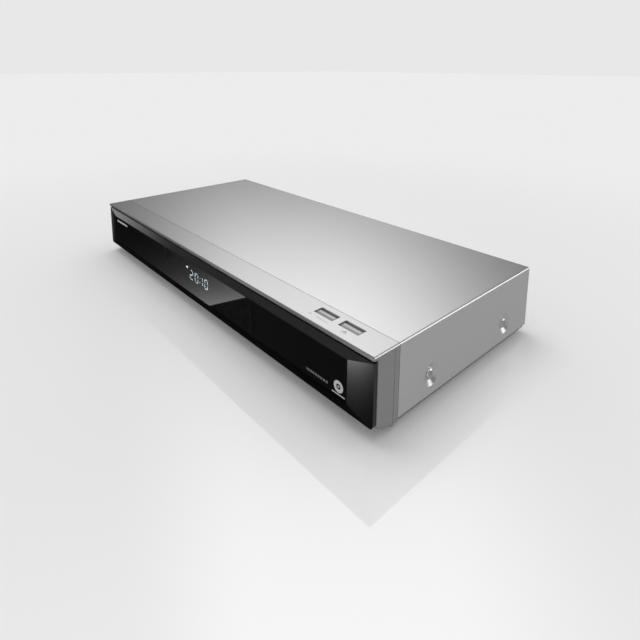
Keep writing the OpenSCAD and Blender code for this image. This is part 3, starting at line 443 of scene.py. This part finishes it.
dress(chip_resin, "main_chips", "tact_switches")
dress(anodised, "heatsinks")
dress(tinned, "tuner_modules", "hdmi_socket", "lan_socket", "usb_sockets", "ci_slot_frame", "sd_socket")
dress(tape_yellow, "transformer")
dress(can_sleeve, "capacitors")
dress(flex_foil, "flat_cables")
dress(disk_lid, "hdd_lid")
dress(display_glass, "display_module")
dress(inlet_plastic, "ac_inlet", "fan_frame", "fan_rotor")

# ---------------------------------------------------------------------------------------------
# The display. A fluorescent panel behind the smoked window: four glowing numerals made of
# straight bars, two dots between them, and one oval lamp above them at the left.

lamp_glow = bpy.data.materials.new("lamp_glow")
lamp_glow.use_nodes = True
glow_tree = lamp_glow.node_tree
glow_bsdf = glow_tree.nodes["Principled BSDF"]
glow_place = node_in(glow_tree, "ShaderNodeTexCoord", (-4, 0))
phosphor = node_in(glow_tree, "ShaderNodeTexNoise", (-3, 0))
phosphor.inputs["Scale"].default_value = 900
glow_tree.links.new(glow_place.outputs["Object"], phosphor.inputs["Vector"])
glow_ramp = node_in(glow_tree, "ShaderNodeMix", (-1, 0), data_type="RGBA")
glow_tree.links.new(phosphor.outputs["Fac"], glow_ramp.inputs[0])
glow_ramp.inputs[6].default_value = (0.62, 0.72, 0.74, 1)
glow_ramp.inputs[7].default_value = (0.86, 0.97, 1.0, 1)
glow_tree.links.new(glow_ramp.outputs[2], glow_bsdf.inputs["Emission Color"])
glow_bsdf.inputs["Base Color"].default_value = (0.3, 0.32, 0.32, 1)
glow_bsdf.inputs["Emission Strength"].default_value = 38
panel_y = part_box("display_module")[0].y
BARS = {"a": (0, 1, 1), "b": (1, 0.5, 0), "c": (1, -0.5, 0), "d": (0, -1, 1), "e": (-1, -0.5, 0),
        "f": (-1, 0.5, 0), "g": (0, 0, 1)}
NUMERALS = {"0": "abcdef", "1": "bc", "2": "abged"}
numeral_half = (2.5 * mm, 4.3 * mm)
numeral_z = 33.3 * mm
bar_half = 0.3 * mm
bar_gap = 0.6 * mm
bar_thick = 0.12 * mm
colon_x = 3.6 * mm
lamp_x, lamp_z = -20.2 * mm, 39.0 * mm
display_bm = bmesh.new()


def glow_bar(bm, x, z, half_x, half_z):
    """One flat bar with clipped corners on the face of the display panel."""
    made = bmesh.ops.create_cube(bm, size=1.0)["verts"]
    bmesh.ops.scale(bm, verts=made, vec=(2 * half_x, bar_thick, 2 * half_z))
    bmesh.ops.translate(bm, verts=made, vec=(x, panel_y - 0.06 * mm, z))
    upright = [e for e in bm.edges if e.verts[0] in made
               and abs(e.verts[0].co.y - e.verts[1].co.y) > 0.05 * mm]
    bmesh.ops.bevel(bm, geom=upright, offset=0.3 * min(half_x, half_z), affect="EDGES", segments=1,
                    profile=0.5, material=-1)


for numeral, at_x in (("2", -12.2), ("0", -2.6), ("1", 6.0), ("0", 14.9)):
    for bar in NUMERALS[numeral]:
        across, up, flat = BARS[bar]
        glow_bar(display_bm, at_x * mm + across * numeral_half[0], numeral_z + up * numeral_half[1],
                 numeral_half[0] - bar_gap if flat else bar_half,
                 bar_half if flat else 0.5 * numeral_half[1] - bar_gap)
for dot_z in (31.4, 35.2):
    glow_bar(display_bm, colon_x, dot_z * mm, bar_half, bar_half)
lamp_dot = bmesh.ops.create_circle(display_bm, cap_ends=True, segments=24, radius=1.15 * mm)["verts"]
bmesh.ops.rotate(display_bm, verts=lamp_dot, matrix=Matrix.Rotation(math.radians(90), 3, "X"))
bmesh.ops.scale(display_bm, verts=lamp_dot, vec=(1.5, 1, 1))
bmesh.ops.translate(display_bm, verts=lamp_dot, vec=(lamp_x, panel_y - 0.08 * mm, lamp_z))
display_marks = link_new("display_marks", display_bm)
display_marks.data.materials.append(lamp_glow)
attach(display_marks, "cabinet")

# ---------------------------------------------------------------------------------------------
# The top cover and the rear panel. The cover is folded steel sprayed with a fine aluminium-flake
# paint, satin, bent with a tight radius along both sides and dished around its side screws. The
# panel behind is plain plated sheet.

cover_paint = Finish("cover_paint", (0.60, 0.60, 0.598), 0.22, 0.67, grain=2600, cloud=6, spread=0.06,
                     gloss_spread=0.05, bump=0.000012)
dress(cover_paint, "top_cover")
rear_zinc = Finish("rear_zinc", (0.50, 0.505, 0.51), 0.4, 0.85, grain=400, cloud=40, spread=0.12,
                   stretch=(1, 1, 0.4))
dress(rear_zinc, "rear_panel")

# ---------------------------------------------------------------------------------------------
# The front bezel. Silver-painted plastic: the strip along the top with two key openings and
# small printed marks. Its front lip and the cheek at each end are tinted darker as painted shade.

bezel_paint = Finish("bezel_paint", (0.525, 0.525, 0.523), 0.22, 0.67, grain=2600, cloud=6, spread=0.06,
                     gloss_spread=0.05, bump=0.000012)
dress(bezel_paint, "front_bezel")
bezel_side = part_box("front_bezel")[1].x
bezel_x, bezel_y = bezel_paint.place.outputs["X"], bezel_paint.place.outputs["Y"]
# painted shade: the outward faces of the cheeks are tinted darker, for the shade falling on the bezel's
# ends
cheek_shade_faces = maths(bezel_paint.tree, "GREATER_THAN", maths(bezel_paint.tree, "ABSOLUTE", bezel_x),
                    bezel_side - 0.02 * mm)
bezel_paint.tint(cheek_shade_faces, (0.36, 0.36, 0.36))
# painted shade: the front face of the lip is tinted darker, for the shade on the front-facing lip
lip_shade = bezel_paint.strip("Y", -104.0, -102.3, 0.3)
bezel_paint.tint(lip_shade, (0.25, 0.25, 0.25), 0.85)
on_top = bezel_paint.strip("Z", 58.0, 60.0)
power_ring = bezel_paint.ring(("X", "Y"), (150.4, -96.4), 0.75, 1.15)
key_dashes = product(bezel_paint.tree, bezel_paint.strip("X", 156.0, 168.0),
                     bezel_paint.strip("Y", -96.9, -95.7), bezel_paint.dashes("X", 0.9, 0.3, 0.45))
eject_bar = product(bezel_paint.tree, bezel_paint.strip("X", 180.6, 185.6),
                    bezel_paint.strip("Y", -97.6, -97.0))
eject_x, arrow_tip_y = 183.1 * mm, -94.0 * mm
lean = maths(bezel_paint.tree, "ABSOLUTE", maths(bezel_paint.tree, "SUBTRACT", bezel_x, eject_x))
below_sides = maths(bezel_paint.tree, "LESS_THAN", maths(bezel_paint.tree, "ADD", lean, bezel_y),
                    arrow_tip_y)
arrow = product(bezel_paint.tree, bezel_paint.strip("Y", -96.5, -94.0), below_sides)
bezel_marks = total(bezel_paint.tree, power_ring, key_dashes, eject_bar, arrow)
bezel_paint.tint(product(bezel_paint.tree, on_top, bezel_marks), (0.16, 0.16, 0.17), 0.6)

# ---------------------------------------------------------------------------------------------
# The two keys. Mid-grey painted mouldings, a long flat ridge between two slopes, each standing
# on a flange under the strip and a stem down to its switch.

key_paint = Finish("key_paint", (0.36, 0.36, 0.36), 0.3, 0.75, grain=1800, spread=0.05)
brim = 1.0 * mm
cap_drop, shoulder_drop, crest_drop = 2.9 * mm, 1.75 * mm, 0.25 * mm
crest_share = (0.86, 0.33)
flange_thick, flange_drop = 1.0 * mm, 3.3 * mm
stem_side, stem_drop = 3 * mm, 3.7 * mm
for key_node in ("power_key", "open_close_key"):
    key_lo, key_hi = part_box(key_node)
    centre = (key_lo + key_hi) / 2
    half = Vector(((key_hi.x - key_lo.x) / 2 - brim, (key_hi.y - key_lo.y) / 2 - brim, 0))
    key_bm = bmesh.new()
    cap = bmesh.ops.create_cube(key_bm, size=1.0)["verts"]
    cap_z0 = key_hi.z - cap_drop
    shoulder_z = key_hi.z - shoulder_drop
    bmesh.ops.scale(key_bm, verts=cap, vec=(2 * half.x, 2 * half.y, shoulder_z - cap_z0))
    bmesh.ops.translate(key_bm, verts=cap, vec=(centre.x, centre.y, (shoulder_z + cap_z0) / 2))
    top_face = max(key_bm.faces, key=lambda f: f.calc_center_median().z)
    raised = bmesh.ops.extrude_face_region(key_bm, geom=[top_face])["geom"]
    crest = [e for e in raised if isinstance(e, bmesh.types.BMVert)]
    bmesh.ops.translate(key_bm, verts=crest, vec=(0, 0, key_hi.z - crest_drop - shoulder_z))
    bmesh.ops.scale(key_bm, verts=crest, vec=(*crest_share, 1),
                    space=Matrix.Translation((-centre.x, -centre.y, 0)))
    bmesh.ops.delete(key_bm, geom=[top_face], context="FACES_ONLY")
    edges = [e for e in key_bm.edges if e.calc_face_angle(0) > math.radians(12)]
    bmesh.ops.bevel(key_bm, geom=edges, offset=0.18 * mm, affect="EDGES", segments=3, profile=0.5,
                    material=-1)
    flange = bmesh.ops.create_cube(key_bm, size=1.0)["verts"]
    bmesh.ops.scale(key_bm, verts=flange,
                    vec=(key_hi.x - key_lo.x, key_hi.y - key_lo.y, flange_thick))
    bmesh.ops.translate(key_bm, verts=flange, vec=(centre.x, centre.y, key_hi.z - flange_drop))
    stem = bmesh.ops.create_cube(key_bm, size=1.0)["verts"]
    stem_z1 = key_hi.z - stem_drop
    bmesh.ops.scale(key_bm, verts=stem, vec=(stem_side, stem_side, stem_z1 - key_lo.z))
    bmesh.ops.translate(key_bm, verts=stem, vec=(centre.x, centre.y, (stem_z1 + key_lo.z) / 2))
    add_piece(key_node + "_cap", key_bm, key_paint, key_node, key_node, key_node)

# ---------------------------------------------------------------------------------------------
# The gloss front. Polished black mouldings, all flush: the faceted fascia, and the tray front and
# flap with softly broken edges and printed marks. A smoked window covers the display.

gloss_black = dict(colour=(0.0022, 0.0022, 0.0024), rough=0.02, grain=60, cloud=8, spread=0.2,
                   gloss_spread=0.3, bump=0.000003)
fascia_black = Finish("fascia_black", **gloss_black)
tray_black = Finish("tray_black", **gloss_black)
flap_black = Finish("flap_black", **gloss_black)
print_silver = (0.55, 0.56, 0.57)
name_bar = product(tray_black.tree, tray_black.strip("X", -188.8, -159.4, 0.2),
                   tray_black.strip("Z", 42.7, 44.9, 0.2), tray_black.strip("Y", -105.0, -103.9, 0.02))
tray_black.tint(name_bar, print_silver)
dash_row = product(flap_black.tree, flap_black.strip("X", 155.2, 176.4),
                   flap_black.strip("Z", 22.3, 24.1), flap_black.dashes("X", 1.3, 0.35, 0.55))
disc_at = (186.4, 25.6)
disc_mark = total(flap_black.tree, flap_black.ring(("X", "Z"), disc_at, 1.9, 4.2, 0.15),
                  flap_black.ring(("X", "Z"), disc_at, 0, 0.8, 0.15))
underline = product(flap_black.tree, flap_black.strip("X", 180.4, 192.2),
                    flap_black.strip("Z", 19.7, 20.5))
outside = flap_black.strip("Y", -105.0, -103.9, 0.02)
marks = total(flap_black.tree, disc_mark, underline)
flap_black.tint(product(flap_black.tree, outside, marks), print_silver)
flap_black.tint(product(flap_black.tree, outside, dash_row), print_silver, 0.35)


def softened(node_name, width):
    """A copy of a CAD node with its flat faces joined up and its sharp edges broken."""
    source = nodes[node_name]
    bm = bmesh.new()
    bm.from_mesh(source.data)
    bmesh.ops.transform(bm, matrix=source.matrix_world, verts=bm.verts)
    bmesh.ops.remove_doubles(bm, verts=bm.verts, dist=0.002 * mm)
    bmesh.ops.dissolve_limit(bm, angle_limit=math.radians(1), verts=bm.verts, edges=bm.edges)
    sharp = [edge for edge in bm.edges if edge.calc_face_angle(0) > math.radians(40)]
    bmesh.ops.bevel(bm, geom=sharp, offset=width, affect="EDGES", segments=2, profile=0.5, material=-1,
                    clamp_overlap=True)
    return bm


dress(fascia_black, "front_fascia")
edge_width = 0.25 * mm
add_piece("tray_front_gloss", softened("tray_front", edge_width), tray_black, "tray",
          "tray_front", "tray_front")
add_piece("flap_gloss", softened("front_flap", edge_width), flap_black, "flap",
          "front_flap", "front_flap")

smoked = bpy.data.materials.new("smoked_window")
smoked.use_nodes = True
smoked_tree = smoked.node_tree
smoked_bsdf = smoked_tree.nodes["Principled BSDF"]
smoked_bsdf.inputs["Transmission Weight"].default_value = 1.0
smoked_bsdf.inputs["IOR"].default_value = 1.5
smoked_place = node_in(smoked_tree, "ShaderNodeTexCoord", (-5, 0))
smoked_mottle = node_in(smoked_tree, "ShaderNodeGroup", (-3, 0), node_tree=mottle)
smoked_tree.links.new(smoked_place.outputs["Object"], smoked_mottle.inputs["Vector"])
smoked_mottle.inputs["Colour"].default_value = (0.03, 0.031, 0.032, 1)
smoked_mottle.inputs["Grain Scale"].default_value = 60
smoked_mottle.inputs["Cloud Scale"].default_value = 8
smoked_mottle.inputs["Spread"].default_value = 0.1
smoked_tree.links.new(smoked_mottle.outputs["Colour"], smoked_bsdf.inputs["Base Color"])
smoked_rough = node_in(smoked_tree, "ShaderNodeMapRange", (-1, -1))
smoked_rough.inputs["To Min"].default_value = 0.0
smoked_rough.inputs["To Max"].default_value = 0.03
smoked_tree.links.new(smoked_mottle.outputs["Mask"], smoked_rough.inputs["Value"])
smoked_tree.links.new(smoked_rough.outputs[0], smoked_bsdf.inputs["Roughness"])
window_piece = link_new("window_glass", softened("display_window", 0.2 * mm))
window_piece.data.materials.append(smoked)
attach(window_piece, "cabinet")
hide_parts("display_window")

# ---------------------------------------------------------------------------------------------
# Screws. Pan heads, nickel-plated at the sides and black at the rear. Each side head is turned as
# one round with a cross pressed in, and screws through the cover's dish into the chassis.

nickel = Finish("nickel", (0.66, 0.66, 0.67), 0.22, 1.0, grain=900, spread=0.12)
black_oxide = Finish("black_oxide", (0.03, 0.03, 0.032), 0.35, 0.6, grain=900, spread=0.3)


def pan_head(head_r, head_h):
    """The mesh of one domed head with a pressed cross, its underside at the origin, facing up."""
    bm = bmesh.new()
    profile = [(head_r, 0.0), (head_r, 0.4 * head_h), (0.93 * head_r, 0.66 * head_h),
               (0.78 * head_r, 0.85 * head_h), (0.55 * head_r, 0.96 * head_h), (0.0, head_h)]
    points = [bm.verts.new((r, 0, h)) for r, h in profile]
    edges = [bm.edges.new(pair) for pair in zip(points, points[1:])]
    bmesh.ops.spin(bm, geom=points + edges, cent=(0, 0, 0), axis=(0, 0, 1), angle=2 * math.pi,
                   steps=32, use_merge=True, use_duplicate=False)
    bmesh.ops.remove_doubles(bm, verts=bm.verts, dist=0.001 * mm)
    arm, reach = 0.13 * head_r, 0.52 * head_r
    for normal in ((1, 0, 0), (0, 1, 0)):
        for side in (-reach, -arm, arm, reach):
            bmesh.ops.bisect_plane(bm, geom=bm.verts[:] + bm.edges[:] + bm.faces[:], dist=0.0001 * mm,
                                   plane_co=Vector(normal) * side, plane_no=normal)
    pressed = []
    for face in bm.faces:
        middle = face.calc_center_median()
        along_x = abs(middle.x) < reach and abs(middle.y) < arm
        along_y = abs(middle.y) < reach and abs(middle.x) < arm
        if (along_x or along_y) and middle.z > 0.5 * head_h:
            pressed.append(face)
    sunk = bmesh.ops.extrude_face_region(bm, geom=pressed)["geom"]
    bottom = [item for item in sunk if isinstance(item, bmesh.types.BMVert)]
    bmesh.ops.translate(bm, verts=bottom, vec=(0, 0, -0.5 * head_h))
    bmesh.ops.scale(bm, verts=bottom, vec=(0.7, 0.7, 1))
    bmesh.ops.delete(bm, geom=[face for face in pressed if face.is_valid], context="FACES")
    bmesh.ops.recalc_face_normals(bm, faces=bm.faces)
    head = bpy.data.meshes.new("pan_head")
    bm.to_mesh(head)
    bm.free()
    return head


def set_heads(bm, head, placings):
    """Adds a copy of one head at each place, facing along the direction given with it."""
    for place, towards in placings:
        turn_to = Vector(towards).to_track_quat("Z", "Y").to_matrix().to_4x4()
        placed = head.copy()
        placed.transform(Matrix.Translation(place) @ turn_to)
        bm.from_mesh(placed)
        bpy.data.meshes.remove(placed)
    bpy.data.meshes.remove(head)


side_lo, side_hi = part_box("side_screws")
screw_r = (side_hi.z - side_lo.z) / 2
screw_h = 1.9 * mm
side_bm = bmesh.new()
side_places = [((side * (side_hi.x - screw_h), y, (side_lo.z + side_hi.z) / 2), (side, 0, 0))
               for y in (side_lo.y + screw_r, side_hi.y - screw_r) for side in (-1, 1)]
set_heads(side_bm, pan_head(screw_r, screw_h), side_places)
add_piece("side_screw_heads", side_bm, nickel, "cabinet", "side_screws", "side_screws")
dress(black_oxide, "rear_screws")

# ---------------------------------------------------------------------------------------------
# The aerial sockets. Turned brass plated with nickel: a threaded barrel through a hexagon nut,
# with a white insulator set back in its mouth and a hole for the centre wire.

white_insulator = Finish("white_insulator", (0.78, 0.78, 0.75), 0.4, grain=700, spread=0.05)
socket_lo, socket_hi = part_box("rf_sockets")
barrel_r, nut_r, bore_r = 4.7 * mm, 6.4 * mm, 1.2 * mm
mouth_r, mouth_depth = 3.5 * mm, 1.2 * mm
pitch, thread_turns = 0.8 * mm, 9
thread_depth, chamfer = 0.35 * mm, 0.4 * mm
nut_thick = 1.8 * mm
insulator_fit, insulator_set_back = 0.1 * mm, 0.5 * mm
sockets_bm = bmesh.new()
insulators_bm = bmesh.new()
socket_steps = (0, 14, 30, 44)


def turned(bm, profile, place, segments):
    """Turns a profile of radius and depth round the Y axis through a place."""
    spun = bmesh.new()
    points = [spun.verts.new((r, y, 0)) for r, y in profile]
    edges = [spun.edges.new(pair) for pair in zip(points, points[1:])]
    bmesh.ops.spin(spun, geom=points + edges, cent=(0, 0, 0), axis=(0, 1, 0), angle=2 * math.pi,
                   steps=segments, use_merge=True, use_duplicate=False)
    bmesh.ops.remove_doubles(spun, verts=spun.verts, dist=0.001 * mm)
    bmesh.ops.translate(spun, verts=spun.verts, vec=place)
    bmesh.ops.recalc_face_normals(spun, faces=spun.faces)
    shell = bpy.data.meshes.new("turned")
    spun.to_mesh(shell)
    spun.free()
    bm.from_mesh(shell)
    bpy.data.meshes.remove(shell)


thread = []
thread_end = socket_hi.y - chamfer
for ridge in range(thread_turns):
    thread.append((barrel_r - thread_depth, thread_end - (ridge + 0.5) * pitch))
    thread.append((barrel_r, thread_end - (ridge + 1) * pitch))
mouth_y = socket_hi.y - mouth_depth
barrel = [(bore_r, mouth_y), (mouth_r, mouth_y), (mouth_r, socket_hi.y),
          (barrel_r - chamfer, socket_hi.y), (barrel_r, thread_end)]
barrel += thread + [(barrel_r, socket_lo.y), (0, socket_lo.y)]
first_x = socket_lo.x + nut_r
socket_z = (socket_lo.z + socket_hi.z) / 2
nut_y = socket_lo.y + 1.4 * mm
nut = [(0, nut_y), (nut_r, nut_y), (nut_r, nut_y + nut_thick), (0, nut_y + nut_thick)]
insulator_r = mouth_r - insulator_fit
insulator_y0 = mouth_y - insulator_fit
insulator_y1 = socket_hi.y - insulator_set_back
insulator = [(bore_r, insulator_y0), (bore_r, insulator_y1), (insulator_r, insulator_y1),
             (insulator_r, insulator_y0)]
for step in socket_steps:
    at = Vector((first_x + step * mm, 0, socket_z))
    turned(sockets_bm, barrel, at, 28)
    turned(sockets_bm, nut, at, 6)
    turned(insulators_bm, insulator, at, 24)
add_piece("aerial_barrels", sockets_bm, nickel, "cabinet", "rf_sockets", "rf_sockets")
add_piece("aerial_insulators", insulators_bm, white_insulator, "cabinet", "rf_sockets")
